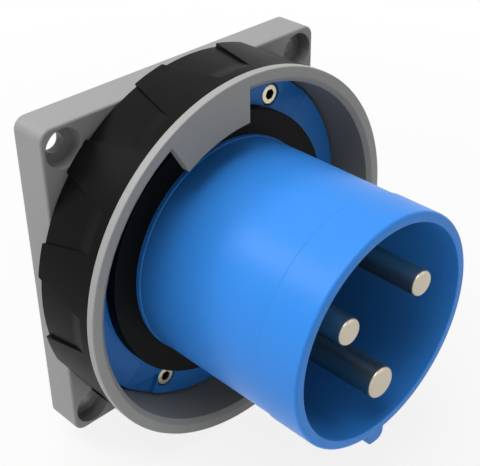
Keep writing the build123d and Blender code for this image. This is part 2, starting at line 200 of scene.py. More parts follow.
def combine(piece, others, operation):
    # cuts the others out of the piece, or joins them to it
    for other in others:
        step = piece.modifiers.new("combine", "BOOLEAN")
        step.operation = operation
        step.solver = "EXACT"
        step.object = other
        piece = evaluated(piece)
        bpy.data.objects.remove(other)
    return piece


def merged(name, pieces):
    # several closed pieces as one mesh
    bm = bmesh.new()
    for piece in pieces:
        bm.from_mesh(piece.data)
        bpy.data.objects.remove(piece)
    return meshPiece(bm, name)


# Node helpers
def newTree(name, kind, inputs, outputs):
    # an empty node group with named sockets
    tree = bpy.data.node_groups.new(name, kind)
    for side, sockets in (("INPUT", inputs), ("OUTPUT", outputs)):
        for label, socketKind in sockets.items():
            tree.interface.new_socket(label, in_out=side, socket_type="NodeSocket" + socketKind)
    return tree, tree.nodes.new("NodeGroupInput"), tree.nodes.new("NodeGroupOutput")


def addMath(nodes, operation, slot=None, value=None):
    node = nodes.new("ShaderNodeMath")
    node.operation = operation
    if slot is not None:
        node.inputs[slot].default_value = value
    return node


def addNoise(nodes, scale, detail, roughness):
    texture = nodes.new("ShaderNodeTexNoise")
    for label, value in (("Scale", scale), ("Detail", detail), ("Roughness", roughness)):
        texture.inputs[label].default_value = value
    return texture


def addRange(nodes, start, end, first, last):
    # turns values from start to end into values from first to last
    node = nodes.new("ShaderNodeMapRange")
    for label, value in (("From Min", start), ("From Max", end), ("To Min", first), ("To Max", last)):
        node.inputs[label].default_value = value
    return node


def addScaling(nodes, links, color, share):
    # a colour made darker or lighter by a share
    node = nodes.new("ShaderNodeVectorMath")
    node.operation = "SCALE"
    links.new(color, node.inputs[0])
    links.new(share, node.inputs["Scale"])
    return node.outputs["Vector"]


# Geometry Nodes: copies of a piece set evenly round the sleeve's axis
def buildCopiesRoundAxis():
    tree, given, made = newTree(
        "copiesRoundAxis", "GeometryNodeTree",
        {"Geometry": "Geometry", "Count": "Int", "First Angle": "Float", "Step Angle": "Float",
         "Material": "Material"}, {"Geometry": "Geometry"})
    nodes, links = tree.nodes, tree.links
    points = nodes.new("GeometryNodePoints")
    index = nodes.new("GeometryNodeInputIndex")
    angle = addMath(nodes, "MULTIPLY_ADD")
    toRadians = addMath(nodes, "MULTIPLY", 1, -pi / 180)
    turn = nodes.new("ShaderNodeCombineXYZ")
    copies = nodes.new("GeometryNodeInstanceOnPoints")
    real = nodes.new("GeometryNodeRealizeInstances")
    paint = nodes.new("GeometryNodeSetMaterial")
    links.new(given.outputs["Count"], points.inputs["Count"])
    links.new(index.outputs["Index"], angle.inputs[0])
    links.new(given.outputs["Step Angle"], angle.inputs[1])
    links.new(given.outputs["First Angle"], angle.inputs[2])
    links.new(angle.outputs[0], toRadians.inputs[0])
    links.new(toRadians.outputs[0], turn.inputs["Y"])
    links.new(points.outputs["Points"], copies.inputs["Points"])
    links.new(given.outputs["Geometry"], copies.inputs["Instance"])
    links.new(turn.outputs["Vector"], copies.inputs["Rotation"])
    links.new(copies.outputs["Instances"], real.inputs["Geometry"])
    links.new(real.outputs["Geometry"], paint.inputs["Geometry"])
    links.new(given.outputs["Material"], paint.inputs["Material"])
    links.new(paint.outputs["Geometry"], made.inputs["Geometry"])
    return tree


copiesRoundAxis = buildCopiesRoundAxis()


def roundAxis(piece, count, first, step=0.0, material=None):
    # the piece is modelled on the +X side, so angle 0 leaves it where it is
    sockets = {s.name: s.identifier for s in copiesRoundAxis.interface.items_tree
               if s.item_type == "SOCKET" and s.in_out == "INPUT"}
    copies = piece.modifiers.new("copiesRoundAxis", "NODES")
    copies.node_group = copiesRoundAxis
    for label, value in (("Count", count), ("First Angle", float(first)), ("Step Angle", float(step)),
                         ("Material", material)):
        copies[sockets[label]] = value
    return evaluated(piece)


# Shader node groups: each gives a fine pattern for the bump, and gloss and colour with slow drifts
surfaceInputs = {"Vector": "Vector", "Pattern Scale": "Float", "Gloss": "Float", "Gloss Drift": "Float",
                 "Color": "Color", "Tone Drift": "Float"}
surfaceOutputs = {"Height": "Float", "Roughness": "Float", "Color": "Color"}


def addDrifts(group, given, made, slow):
    # a slow noise moves the gloss and the tone a little round the given ones
    nodes, links = group.nodes, group.links
    centred = addMath(nodes, "SUBTRACT", 1, 0.5)
    gloss = addMath(nodes, "MULTIPLY_ADD")
    tone = addMath(nodes, "MULTIPLY_ADD", 2, 1.0)
    links.new(given.outputs["Vector"], slow.inputs["Vector"])
    links.new(slow.outputs["Fac"], centred.inputs[0])
    links.new(centred.outputs[0], gloss.inputs[0])
    links.new(given.outputs["Gloss Drift"], gloss.inputs[1])
    links.new(given.outputs["Gloss"], gloss.inputs[2])
    links.new(centred.outputs[0], tone.inputs[0])
    links.new(given.outputs["Tone Drift"], tone.inputs[1])
    links.new(gloss.outputs[0], made.inputs["Roughness"])
    links.new(addScaling(nodes, links, given.outputs["Color"], tone.outputs[0]), made.inputs["Color"])


def buildMouldedGrain():
    # fine eroded texture of a moulding tool
    group, given, made = newTree("mouldedGrain", "ShaderNodeTree", surfaceInputs, surfaceOutputs)
    grain = addNoise(group.nodes, scale=1.0, detail=3.0, roughness=0.6)
    group.links.new(given.outputs["Vector"], grain.inputs["Vector"])
    group.links.new(given.outputs["Pattern Scale"], grain.inputs["Scale"])
    group.links.new(grain.outputs["Fac"], made.inputs["Height"])
    addDrifts(group, given, made, addNoise(group.nodes, scale=45.0, detail=4.0, roughness=0.55))
    return group


def buildTurnedMarks():
    # rings left by the turning tool along the Y axis, under a slow stain of the plating
    group, given, made = newTree("turnedMarks", "ShaderNodeTree", surfaceInputs, surfaceOutputs)
    squeeze = group.nodes.new("ShaderNodeMapping")
    squeeze.inputs["Scale"].default_value = (0.02, 1.0, 0.02)
    marks = addNoise(group.nodes, scale=1.0, detail=2.0, roughness=0.7)
    group.links.new(given.outputs["Vector"], squeeze.inputs["Vector"])
    group.links.new(squeeze.outputs["Vector"], marks.inputs["Vector"])
    group.links.new(given.outputs["Pattern Scale"], marks.inputs["Scale"])
    group.links.new(marks.outputs["Fac"], made.inputs["Height"])
    addDrifts(group, given, made, addNoise(group.nodes, scale=160.0, detail=4.0, roughness=0.6))
    return group


# Finishes: one group and its scale for what is moulded, another for metal
moulded = dict(group=buildMouldedGrain(), patternScale=2600.0, depth=0.02, metallic=0.0)
metal = dict(group=buildTurnedMarks(), patternScale=5200.0, depth=0.01, metallic=1.0, ior=1.5)
greyMoulding = dict(moulded, color=(0.345, 0.345, 0.345), roughness=0.45, roughnessDrift=0.04,
                    toneDrift=0.02, bump=0.25, ior=1.42)
finishes = {
    "grey_moulding": greyMoulding,
    # painted light: the rim's grey is the housing's made lighter, for brighter front faces on the rim
    # and lugs
    "rim_grey_painted_light": dict(greyMoulding, color=(0.4, 0.4, 0.395)),  # a shade lighter than the housing
    "black_moulding": dict(moulded, color=(0.005, 0.005, 0.005), roughness=0.4, roughnessDrift=0.06,
                           toneDrift=0.1, bump=0.35, ior=1.13),
    "blue_moulding": dict(moulded, color=(0.046, 0.31, 0.96), roughness=0.36, roughnessDrift=0.04,
                          toneDrift=0.02, bump=0.2, ior=1.28, bounce=(0.10, 0.13, 0.17)),
    "carrier_moulding": dict(moulded, color=(0.03, 0.03, 0.032), roughness=0.5, roughnessDrift=0.08,
                             toneDrift=0.08, bump=0.3, ior=1.5),
    "rubber_seal": dict(moulded, color=(0.002, 0.002, 0.002), roughness=0.6, roughnessDrift=0.08,
                        toneDrift=0.1, bump=0.3, ior=1.22),
    "plated_contact": dict(metal, color=(0.52, 0.47, 0.375), roughness=0.3, roughnessDrift=0.03,
                           toneDrift=0.03, bump=0.12),
    "brass": dict(metal, color=(0.72, 0.52, 0.24), roughness=0.3, roughnessDrift=0.1,
                  toneDrift=0.15, bump=0.15),
    "plated_screw": dict(metal, color=(0.72, 0.66, 0.46), roughness=0.34, roughnessDrift=0.1,
                         toneDrift=0.12, bump=0.12),
    # the screws in the blue floor, with painted shade deep in their hex sockets
    "insert_screw": dict(metal, color=(0.80, 0.73, 0.52), roughness=0.4, roughnessDrift=0.05,
                         toneDrift=0.05, bump=0.12, paintedShadeFrom=21.3, paintedShadeTo=20.5, paintedShadeShare=0.01),
}


def finishMaterial(name, surface):
    # object coordinates into the surface group, then a bump and the shader
    material = bpy.data.materials.new(name)
    material.use_nodes = True
    nodes, links = material.node_tree.nodes, material.node_tree.links
    shader = nodes["Principled BSDF"]
    where = nodes.new("ShaderNodeTexCoord")
    finish = nodes.new("ShaderNodeGroup")
    finish.node_tree = surface["group"]
    bump = nodes.new("ShaderNodeBump")
    for node, label, value in (
            (finish, "Pattern Scale", surface["patternScale"]),
            (finish, "Gloss", surface["roughness"]), (finish, "Gloss Drift", surface["roughnessDrift"]),
            (finish, "Color", (*surface["color"], 1)), (finish, "Tone Drift", surface["toneDrift"]),
            (bump, "Strength", surface["bump"]), (bump, "Distance", surface["depth"] * mm),
            (shader, "Metallic", surface["metallic"]), (shader, "IOR", surface["ior"])):
        node.inputs[label].default_value = value
    links.new(where.outputs["Object"], finish.inputs["Vector"])
    links.new(finish.outputs["Height"], bump.inputs["Height"])
    links.new(bump.outputs["Normal"], shader.inputs["Normal"])
    links.new(finish.outputs["Roughness"], shader.inputs["Roughness"])
    tint = finish.outputs["Color"]
    if "bounce" in surface:
        # a duller colour for the light that the surface throws on its neighbours
        path = nodes.new("ShaderNodeLightPath")
        duller = nodes.new("ShaderNodeMix")
        duller.data_type = "RGBA"
        duller.inputs["B"].default_value = (*surface["bounce"], 1)
        links.new(path.outputs["Is Diffuse Ray"], duller.inputs["Factor"])
        links.new(tint, duller.inputs["A"])
        tint = duller.outputs["Result"]
    if "paintedShadeTo" in surface:
        # painted shade deep in a socket: the colour darkens with depth below the screw head's face
        parts = nodes.new("ShaderNodeSeparateXYZ")
        deep = addRange(nodes, -surface["paintedShadeFrom"] * mm, -surface["paintedShadeTo"] * mm,
                        1.0, surface["paintedShadeShare"])
        links.new(where.outputs["Object"], parts.inputs[0])
        links.new(parts.outputs["Y"], deep.inputs["Value"])
        tint = addScaling(nodes, links, tint, deep.outputs[0])
    links.new(tint, shader.inputs["Base Color"])
    return material


materials = {name: finishMaterial(name, surface) for name, surface in finishes.items()}
print("stage: materials built,", len(materials))


def dress(piece, node, body, finish, paint=None):
    # smooths the piece between its creases, paints it and puts it in place of its CAD node
    mesh = piece.data
    bm = bmesh.new()
    bm.from_mesh(mesh)
    bmesh.ops.remove_doubles(bm, verts=bm.verts, dist=weld)
    for face in bm.faces:
        face.smooth = True
        face.material_index = 0
    for edge in bm.edges:
        edge.smooth = len(edge.link_faces) == 2 and edge.calc_face_angle(pi) < radians(creaseAngle)
    bm.to_mesh(mesh)
    bm.free()
    mesh.materials.clear()
    mesh.materials.append(materials[paint or finish])
    normals = piece.modifiers.new("flat faces stay flat", "WEIGHTED_NORMAL")
    normals.keep_sharp = True
    piece.name = node + "_look"
    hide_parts(node)
    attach(piece, body)


# Grey housing: hollow-backed flange, barrel and rear spigot
housing = {
    "halfWidth": 52.25, "cornerRadius": 3.6, "thickness": 12.1, "frontSoft": 0.7, "frontSteps": 6,
    "backSoft": 0.25, "edge": 0.3,
    "boreRadius": 41.0, "barrelRadius": 51.0, "barrelFront": 17.9, "hubRadius": 48.5,
    "spigotRadius": 43.2, "spigotBack": -9.0,
    "pocketHalf": 48.85, "pocketCorner": 4.1, "pocketDepth": 4.5,
    "ribFirst": 22.5, "ribCount": 8, "ribThickness": 2.0, "ribReach": (47.5, 54.5), "ribSoft": 0.2,
    "holeSpot": 45.1, "holeRadius": 3.0, "ledgeSoft": 0.08,
    "counterboreRadius": 5.9, "counterboreDepth": 4.8, "counterboreSoft": 0.1,
    "stopFirst": 150.0, "stopSpan": 8.0, "stopOuter": 53.1, "stopFront": 17.1,
    "sealInner": 44.0, "sealOuter": 47.2, "sealDepth": 2.0, "sealSoft": 0.2,
}


def buildHousing():
    h = housing
    front = h["thickness"]
    body = prism("flangeBody", squareOutline(h["halfWidth"], h["cornerRadius"]), 0, front,
                 h["frontSoft"], h["frontSteps"], h["backSoft"])
    pocket = prism("pocket", squareOutline(h["pocketHalf"], h["pocketCorner"]), -past, h["pocketDepth"])
    body = combine(body, [pocket], "DIFFERENCE")
    inWeb = h["pocketDepth"] + overlap
    core = turned("core", [
        (0, h["spigotBack"]), (h["spigotRadius"], h["spigotBack"], h["edge"]),
        (h["spigotRadius"], 0), (h["hubRadius"], 0, h["edge"]),
        (h["hubRadius"], inWeb), (h["barrelRadius"], inWeb),
        (h["barrelRadius"], h["barrelFront"], h["edge"]), (0, h["barrelFront"])], facets["body"])
    rib = prism("rib", barOutline(*h["ribReach"], h["ribThickness"] / 2), 0, inWeb,
                softSteps=2, softBack=h["ribSoft"])
    ribs = roundAxis(rib, h["ribCount"], h["ribFirst"], 360 / h["ribCount"])
    stopHalf = h["stopSpan"] / 2
    stop = prism("stop", sectorOutline(h["barrelRadius"] - overlap, h["stopOuter"], -stopHalf, stopHalf),
                 front - overlap, h["stopFront"], h["edge"])
    stops = roundAxis(stop, 2, h["stopFirst"], 180)
    body = combine(body, [core, ribs, stops], "UNION")
    ledge = front - h["counterboreDepth"]
    hole = turned("hole", [
        (0, -past), (h["holeRadius"], -past), (h["holeRadius"], ledge, h["ledgeSoft"]),
        (h["counterboreRadius"], ledge, h["counterboreSoft"]),
        *drillMouth(h["counterboreRadius"], front, h["counterboreSoft"])],
        facets["hole"], (h["holeSpot"] * sqrt(2), 0))
    holes = roundAxis(hole, 4, 45, 90)
    bore = turned("bore", rod(h["boreRadius"], h["spigotBack"] - past, h["barrelFront"] + past),
                  facets["body"])
    groove = turned("groove", [
        (h["sealInner"], -past), (h["sealOuter"], -past),
        (h["sealOuter"], h["sealDepth"], h["sealSoft"]),
        (h["sealInner"], h["sealDepth"], h["sealSoft"])], facets["body"])
    return combine(body, [holes, bore, groove], "DIFFERENCE")


dress(buildHousing(), "flange_housing", "housing", "grey_moulding")

# Panel seal in the groove of the flange's back
seal = {"inner": 44.05, "outer": 47.15, "front": 1.95, "edge": 0.4}


def buildSeal():
    return turned("seal", [
        (seal["inner"], 0, seal["edge"]), (seal["outer"], 0, seal["edge"]),
        (seal["outer"], seal["front"]), (seal["inner"], seal["front"])], facets["body"])


dress(buildSeal(), "flange_seal", "housing", "rubber_seal")
print("stage: housing built")

# Blue insert: floor, sleeve, root bead and key
insert = {
    "skirtInner": 35.8, "skirtOuter": 40.8, "skirtBack": 5.0, "edge": 0.3, "soft": 0.2,
    "grooveFloor": 39.0, "grooveBack": 14.45, "grooveFront": 16.95,
    "floorRadius": 53.1, "floorBack": 17.9, "floorFront": 22.0, "floorSoft": 0.4,
    "shaftRadius": 35.15, "gasketFront": 26.0,
    "beadRadius": 35.45, "beadWidth": 1.6, "beadSlope": 0.3, "beadSoft": 0.15,
    "noseBack": 74.0, "sleeveRadius": 35.5, "sleeveFront": 88.2, "mouthSoft": 0.9,
    "sleeveInner": 32.5, "mouthInnerSoft": 0.3, "shoulder": 18.5, "relief": 0.35,
    "keyHalf": 3.5, "keyReach": 40.1, "keyCrown": 2.6, "keyRoot": 0.7, "keyEndSoft": 0.5,
    "keyBury": 1.2, "keyRootDepth": 0.05,
    # the drain recess beside a screw: its corners on the floor and at its bottom
    "recessTop": ((26.2, 37.6), (44.0, 36.2), (44.0, 50.0), (31.5, 49.2), (26.5, 39.1)),
    "recessFloor": ((26.7, 38.95), (44.0, 41.8), (44.0, 50.0), (31.8, 49.2), (26.8, 39.15)),
    "recessDepth": 1.3, "recessLift": 0.5,
    "screwCircle": 47.0, "screwAngle": 60.4, "screwWell": 3.5, "screwHole": 2.1, "wellDepth": 3.0,
}


def buildSleeve():
    i = insert
    beadFront = i["gasketFront"] + i["beadWidth"]
    return turned("insertBody", [
        (i["skirtInner"], i["skirtBack"], i["soft"]), (i["skirtOuter"], i["skirtBack"], i["edge"]),
        (i["skirtOuter"], i["grooveBack"]), (i["grooveFloor"], i["grooveBack"]),
        (i["grooveFloor"], i["grooveFront"]), (i["skirtOuter"], i["grooveFront"]),
        (i["skirtOuter"], i["floorBack"]), (i["floorRadius"], i["floorBack"], i["edge"]),
        (i["floorRadius"], i["floorFront"], i["floorSoft"]), (i["shaftRadius"], i["floorFront"]),
        (i["shaftRadius"], i["gasketFront"]), (i["beadRadius"], i["gasketFront"]),
        (i["beadRadius"], beadFront - i["beadSlope"], i["beadSoft"]),
        (i["shaftRadius"], beadFront, i["beadSoft"]),
        (i["shaftRadius"], i["noseBack"] - i["relief"], i["soft"]),
        (i["sleeveRadius"], i["noseBack"], i["soft"]),
        (i["sleeveRadius"], i["sleeveFront"], i["mouthSoft"]),
        (i["sleeveInner"], i["sleeveFront"], i["mouthInnerSoft"]),
        (i["sleeveInner"], i["shoulder"], i["soft"]), (i["skirtInner"], i["shoulder"])], facets["ring"])


def buildKey():
    i = insert
    half, foot = i["keyHalf"], i["keyHalf"] + i["keyRoot"]
    inside = -i["sleeveInner"] - i["keyBury"]
    root = -i["sleeveRadius"] + i["keyRootDepth"]
    return prism("key", [
        (foot, inside), (-foot, inside), (-foot, root), (-half, root, i["keyRoot"]),
        (-half, -i["keyReach"], i["keyCrown"]), (half, -i["keyReach"], i["keyCrown"]),
        (half, root, i["keyRoot"]), (foot, root)],
        i["gasketFront"], i["sleeveFront"] - i["mouthSoft"], i["keyEndSoft"])


def buildRecesses():
    # open at the rim of the floor, with a slope along the lower side
    i = insert
    floor = i["floorFront"]
    lifted = [tuple(Vector(top) + (Vector(top) - Vector(low)) * i["recessLift"] / i["recessDepth"])
              for top, low in zip(i["recessTop"], i["recessFloor"])]
    recess = tapered("recess", i["recessFloor"], lifted, floor - i["recessDepth"],
                     floor + i["recessLift"])
    return roundAxis(recess, 2, 0, 180)


def buildInsert():
    i = insert
    body = combine(buildSleeve(), [buildKey()], "UNION")
    floor = i["floorFront"]
    seat = floor - i["wellDepth"]
    well = turned("well", [
        (0, i["skirtBack"]), (i["screwHole"], i["skirtBack"]), (i["screwHole"], seat),
        (i["screwWell"], seat), *drillMouth(i["screwWell"], floor, i["soft"])],
        facets["screw"], (i["screwCircle"], 0))
    wells = roundAxis(well, 2, i["screwAngle"], 180)
    return combine(body, [buildRecesses(), wells], "DIFFERENCE")


dress(buildInsert(), "sleeve_insert", "housing", "blue_moulding")

# Sealing ring on the floor, round the root of the sleeve
gasket = {"inner": 35.2, "outer": 43.25, "edge": 0.5, "soft": 0.2}


def buildGasket():
    g = gasket
    back, front = insert["floorFront"], insert["gasketFront"]
    return turned("gasket", [
        (g["inner"], back), (g["outer"], back, g["soft"]), (g["outer"], front, g["edge"]),
        (g["inner"], front, g["soft"])], facets["body"])


dress(buildGasket(), "face_gasket", "housing", "rubber_seal")
print("stage: insert built")

# The two screws in the blue floor
insertScrew = {
    "shaft": 2.0, "shaftBack": 10.0, "shaftSoft": 0.3, "headBack": 19.0, "head": 3.2, "headFront": 21.6,
    "seatSoft": 0.2, "headSoft": 0.4, "hex": 3.1, "hexDepth": 2.2, "hexSoft": 0.5,
}


def buildInsertScrews():
    s = insertScrew
    middle = insert["screwCircle"]
    screw = turned("insertScrew", [
        (0, s["shaftBack"]), (s["shaft"], s["shaftBack"], s["shaftSoft"]), (s["shaft"], s["headBack"]),
        (s["head"], s["headBack"], s["seatSoft"]), (s["head"], s["headFront"], s["headSoft"]),
        (0, s["headFront"])], facets["screw"], (middle, 0))
    corners = [onCircle(s["hex"] / 2 / cos(radians(30)), 60 * k) for k in range(6)]
    socket = prism("hexSocket", [(middle + x, z, s["hexSoft"]) for x, z in corners],
                   s["headFront"] - s["hexDepth"], s["headFront"] + past)
    screw = combine(screw, [socket], "DIFFERENCE")
    return roundAxis(screw, 2, insert["screwAngle"], 180, materials["insert_screw"])


dress(buildInsertScrews(), "insert_screws", "housing", "plated_screw", "insert_screw")

# Locking ring: the turned wall with its lip, and the finger pads round it
ring = {
    "lipInner": 51.3, "lipBack": 12.5, "lipFront": 17.5, "gripInner": 54.95, "outerBack": 58.4,
    "outerFront": 59.0, "front": 34.2, "taperEnd": 31.0, "edge": 0.35, "innerEdge": 0.2,
    "dipRadius": 58.35, "dipEnd": 27.0, "dipRound": 14.0, "bandRound": 4.0,
    "windowOuter": 53.5, "windowFirst": 150.0, "windowStart": -4.6, "windowEnd": 42.6,
    "padCount": 12, "padFirst": 15.0, "padProud": 1.0, "padSunk": 1.6, "padBury": 1.2, "padSoft": 0.18,
    "padBackAngle": 10.0, "padFrontAngle": 19.0, "padRimAngle": 40.0, "padRows": 10, "padColumns": 8,
}


def padGrid(bm, sunk):
    # rows of points from the back to the front, on the pad's face or sunk in the ring's wall
    r = ring
    taper = r["taperEnd"] - r["lipBack"]
    grid = []
    for j in range(r["padRows"] + 1):
        t = j / r["padRows"] * (1 + r["padBury"] / taper)
        skin = r["outerBack"] + (r["outerFront"] - r["outerBack"]) * t
        proud = -r["padSunk"] if sunk else r["padProud"] * (1 - t)
        half = (r["padBackAngle"] + (r["padFrontAngle"] - r["padBackAngle"]) * t) / 2
        row = []
        for k in range(r["padColumns"] + 1):
            x, z = onCircle(skin + proud, half * (2 * k / r["padColumns"] - 1))
            row.append(bm.verts.new((x * mm, -(r["lipBack"] + taper * t) * mm, z * mm)))
        grid.append(row)
    return grid


def buildPad():
    # proud of the ring's wall at the back, flush with its front band, wider towards the front
    rows, columns = ring["padRows"], ring["padColumns"]
    bm = bmesh.new()
    low, high = padGrid(bm, True), padGrid(bm, False)
    for grid in (low, high):
        for j in range(rows):
            for k in range(columns):
                bm.faces.new((grid[j][k], grid[j][k + 1], grid[j + 1][k + 1], grid[j + 1][k]))
    for j in range(rows):
        for k in (0, columns):
            bm.faces.new((low[j][k], low[j + 1][k], high[j + 1][k], high[j][k]))
    for k in range(columns):
        for j in (0, rows):
            bm.faces.new((low[j][k], low[j][k + 1], high[j][k + 1], high[j][k]))
    bmesh.ops.recalc_face_normals(bm, faces=bm.faces)
    tops = set(v for row in high for v in row)
    rims = [e for e in bm.edges if e.verts[0] in tops and e.verts[1] in tops
            and e.calc_face_angle(0) > radians(ring["padRimAngle"])]
    bmesh.ops.bevel(bm, geom=rims, offset=ring["padSoft"] * mm, segments=3, profile=0.5, affect="EDGES")
    return closedPiece(bm, "pad")


def buildRing():
    r = ring
    wall = turned("ringWall", [
        (r["lipInner"], r["lipBack"], r["edge"]), (r["outerBack"], r["lipBack"], r["edge"]),
        (r["dipRadius"], r["dipEnd"], r["dipRound"]), (r["outerFront"], r["taperEnd"], r["bandRound"]),
        (r["outerFront"], r["front"], r["edge"]), (r["gripInner"], r["front"], r["innerEdge"]),
        (r["gripInner"], r["lipFront"]), (r["lipInner"], r["lipFront"], r["innerEdge"])], facets["ring"])
    window = prism("window", sectorOutline(r["lipInner"] - past, r["windowOuter"], r["windowStart"],
                                           r["windowEnd"]), r["lipBack"] - past, r["lipFront"] - lift)
    wall = combine(wall, [roundAxis(window, 2, r["windowFirst"], 180)], "DIFFERENCE")
    pads = roundAxis(buildPad(), r["padCount"], r["padFirst"], 360 / r["padCount"],
                     materials["black_moulding"])
    return merged("ringWhole", [wall, pads])


dress(buildRing(), "locking_ring", "bayonet_ring", "black_moulding")

# Grey rim and liner in one piece, with the two bayonet lugs
bezel = {
    "inner": 53.5, "mouth": 54.5, "linerOuter": 54.9, "linerBack": 17.55, "outer": 59.14,
    "back": 34.2, "front": 36.8, "edge": 0.35, "soft": 0.2,
    "chamferWidth": 1.5, "chamferDepth": 1.2, "chamferFrontSoft": 1.0, "chamferBackSoft": 0.3,
    "lugInner": 45.1, "lugOuter": 56.5, "lugRoot": 54.6, "lugBack": 33.6, "lugFirst": 90.0,
    "lugSpan": 30.5, "lugStep": 1.5, "lugBackSoft": 0.3,
}


def buildBezel():
    b = bezel
    rim = turned("bezelRim", [
        (b["inner"], b["linerBack"], b["soft"]), (b["linerOuter"], b["linerBack"]),
        (b["linerOuter"], b["back"]), (b["outer"], b["back"], b["soft"]),
        (b["outer"], b["front"], b["edge"]),
        (b["mouth"] + b["chamferWidth"], b["front"], b["chamferFrontSoft"]),
        (b["mouth"], b["front"] - b["chamferDepth"], b["chamferBackSoft"])], facets["ring"])
    lug = prism("lug", sectorOutline(b["lugInner"], b["lugOuter"], 0, b["lugSpan"], b["lugStep"]),
                b["back"], b["front"], b["soft"], softSteps=2)
    root = prism("lugRoot", sectorOutline(b["lugInner"], b["lugRoot"], 0, b["lugSpan"], b["lugStep"]),
                 b["lugBack"], b["back"] + overlap, softSteps=2, softBack=b["lugBackSoft"])
    lug = combine(lug, [root], "UNION")
    # the lugs take the lighter grey, which is painted light
    lugs = roundAxis(lug, 2, b["lugFirst"], 180, materials["rim_grey_painted_light"])
    return combine(rim, [lugs], "UNION")


# the rim, liner and lugs take the lighter grey, which is painted light
dress(buildBezel(), "ring_bezel", "bayonet_ring", "grey_moulding", "rim_grey_painted_light")
print("stage: locking ring built")

# Contact pins with a collar and a wire barrel at the back
contact = {
    "circle": 17.5, "tip": 88.4, "tipSoft": 1.3, "shankStep": 0.3, "shankFront": 24.2, "relief": 0.6,
    "shankSoft": 0.1, "collarBack": 1.75, "collarFront": 5.7, "collarProud": 1.6, "collarSoft": 0.2,
    "barrelBack": -25.49, "barrelSoft": 0.4, "boreDepth": 21.0, "boreSoft": 0.3,
    "screwStations": (-19.5, -10.5), "screwRadius": 3.05, "drillPast": 2.0,
}
pins = {
    "line": {"angle": 30, "radius": 4.0, "barrel": 7.0, "bore": 4.5},
    "neutral": {"angle": 150, "radius": 4.0, "barrel": 7.0, "bore": 4.5},
    "earth": {"angle": 270, "radius": 5.0, "barrel": 7.5, "bore": 4.8},
}


def standOnBarrel(station):
    # turns what is made along -Y to +X, at a clamping screw's station on a pin's barrel
    place = Vector((contact["circle"], -station, 0)) * mm
    return Matrix.Translation(place) @ Matrix.Rotation(pi / 2, 4, "Z")


def buildPin(name):
    # modelled on the +X side, then turned to its own angle
    c = contact
    radius, barrel, bore = pins[name]["radius"], pins[name]["barrel"], pins[name]["bore"]
    shank, neck, collar = radius + c["shankStep"], radius - c["shankStep"], barrel + c["collarProud"]
    neckFront = c["shankFront"] + c["relief"]
    pin = turned(name + "Pin", [
        (0, c["barrelBack"] + c["boreDepth"]), (bore, c["barrelBack"] + c["boreDepth"]),
        (bore, c["barrelBack"], c["boreSoft"]), (barrel, c["barrelBack"], c["barrelSoft"]),
        (barrel, c["collarBack"]), (collar, c["collarBack"], c["collarSoft"]),
        (collar, c["collarFront"], c["collarSoft"]), (shank, c["collarFront"]),
        (shank, c["shankFront"], c["shankSoft"]), (neck, c["shankFront"]), (neck, neckFront),
        (radius, neckFront, c["shankSoft"]), (radius, c["tip"], c["tipSoft"]), (0, c["tip"])],
        facets["pin"], (c["circle"], 0))
    drills = []
    for station in c["screwStations"]:
        drill = turned("drill", rod(c["screwRadius"], 0, barrel + c["drillPast"]), facets["drill"])
        drill.data.transform(standOnBarrel(station))
        drills.append(drill)
    pin = combine(pin, drills, "DIFFERENCE")
    return roundAxis(pin, 1, pins[name]["angle"], material=materials["plated_contact"])


for name in pins:
    dress(buildPin(name), name + "_pin", "housing", "plated_contact")

# Carrier that the pins pass through
carrier = {
    "back": 1.7, "flange": 40.8, "skirtBack": 4.98, "body": 35.75, "shoulder": 18.45, "nose": 32.45,
    "front": 24.0, "edge": 0.3, "soft": 0.2, "clear": 0.05, "counterDepth": 5.6,
}


def buildCarrier():
    c = carrier
    body = turned("carrierBody", [
        (0, c["back"]), (c["flange"], c["back"], c["edge"]), (c["flange"], c["skirtBack"]),
        (c["body"], c["skirtBack"]), (c["body"], c["shoulder"]), (c["nose"], c["shoulder"]),
        (c["nose"], c["front"], c["soft"]), (0, c["front"])], facets["body"])
    seatFront = c["back"] + c["counterDepth"]
    drills = []
    for pin in pins.values():
        shank = pin["radius"] + contact["shankStep"] + c["clear"]
        seat = pin["barrel"] + contact["collarProud"] + c["clear"]
        drills.append(turned("pinHole", [
            (0, c["back"] - past), (seat, c["back"] - past), (seat, seatFront), (shank, seatFront),
            *drillMouth(shank, c["front"], c["soft"])], facets["hole"],
            onCircle(contact["circle"], pin["angle"])))
    return combine(body, drills, "DIFFERENCE")


dress(buildCarrier(), "contact_carrier", "housing", "carrier_moulding")

# Plate behind the pins' collars, with a barrier between each two barrels
plate = {
    "radius": 40.8, "back": -1.5, "front": 1.7, "edge": 0.3, "frontSoft": 0.1, "pinClear": 0.1,
    "barrierFirst": 90, "barrierReach": 36.0, "barrierThickness": 2.4, "barrierBack": -21.5,
    "barrierSoft": 0.35, "barrierBury": 0.5, "barrierGap": 0.15, "hubRadius": 2.4,
}


def buildPlate():
    p = plate
    disc = turned("plateDisc", [
        (0, p["back"]), (p["radius"], p["back"], p["edge"]), (p["radius"], p["front"], p["frontSoft"]),
        (0, p["front"])], facets["body"])
    half = p["barrierThickness"] / 2
    root = p["back"] + p["barrierBury"]
    # the bars start inside the hub without touching each other
    bar = prism("barrier", barOutline(half + p["barrierGap"], p["barrierReach"], half),
                p["barrierBack"], root, softSteps=2, softBack=p["barrierSoft"])
    bars = roundAxis(bar, 3, p["barrierFirst"], 120)
    hub = turned("barrierHub", [
        (0, p["barrierBack"]), (p["hubRadius"], p["barrierBack"], p["barrierSoft"]),
        (p["hubRadius"], root), (0, root)], facets["screw"])
    disc = combine(disc, [bars, hub], "UNION")
    back, front = p["back"] - past, p["front"] + past
    holes = [turned("barrelHole", rod(pin["barrel"] + p["pinClear"], back, front), facets["hole"],
                    onCircle(contact["circle"], pin["angle"])) for pin in pins.values()]
    return combine(disc, holes, "DIFFERENCE")


dress(buildPlate(), "pin_plate", "housing", "carrier_moulding")

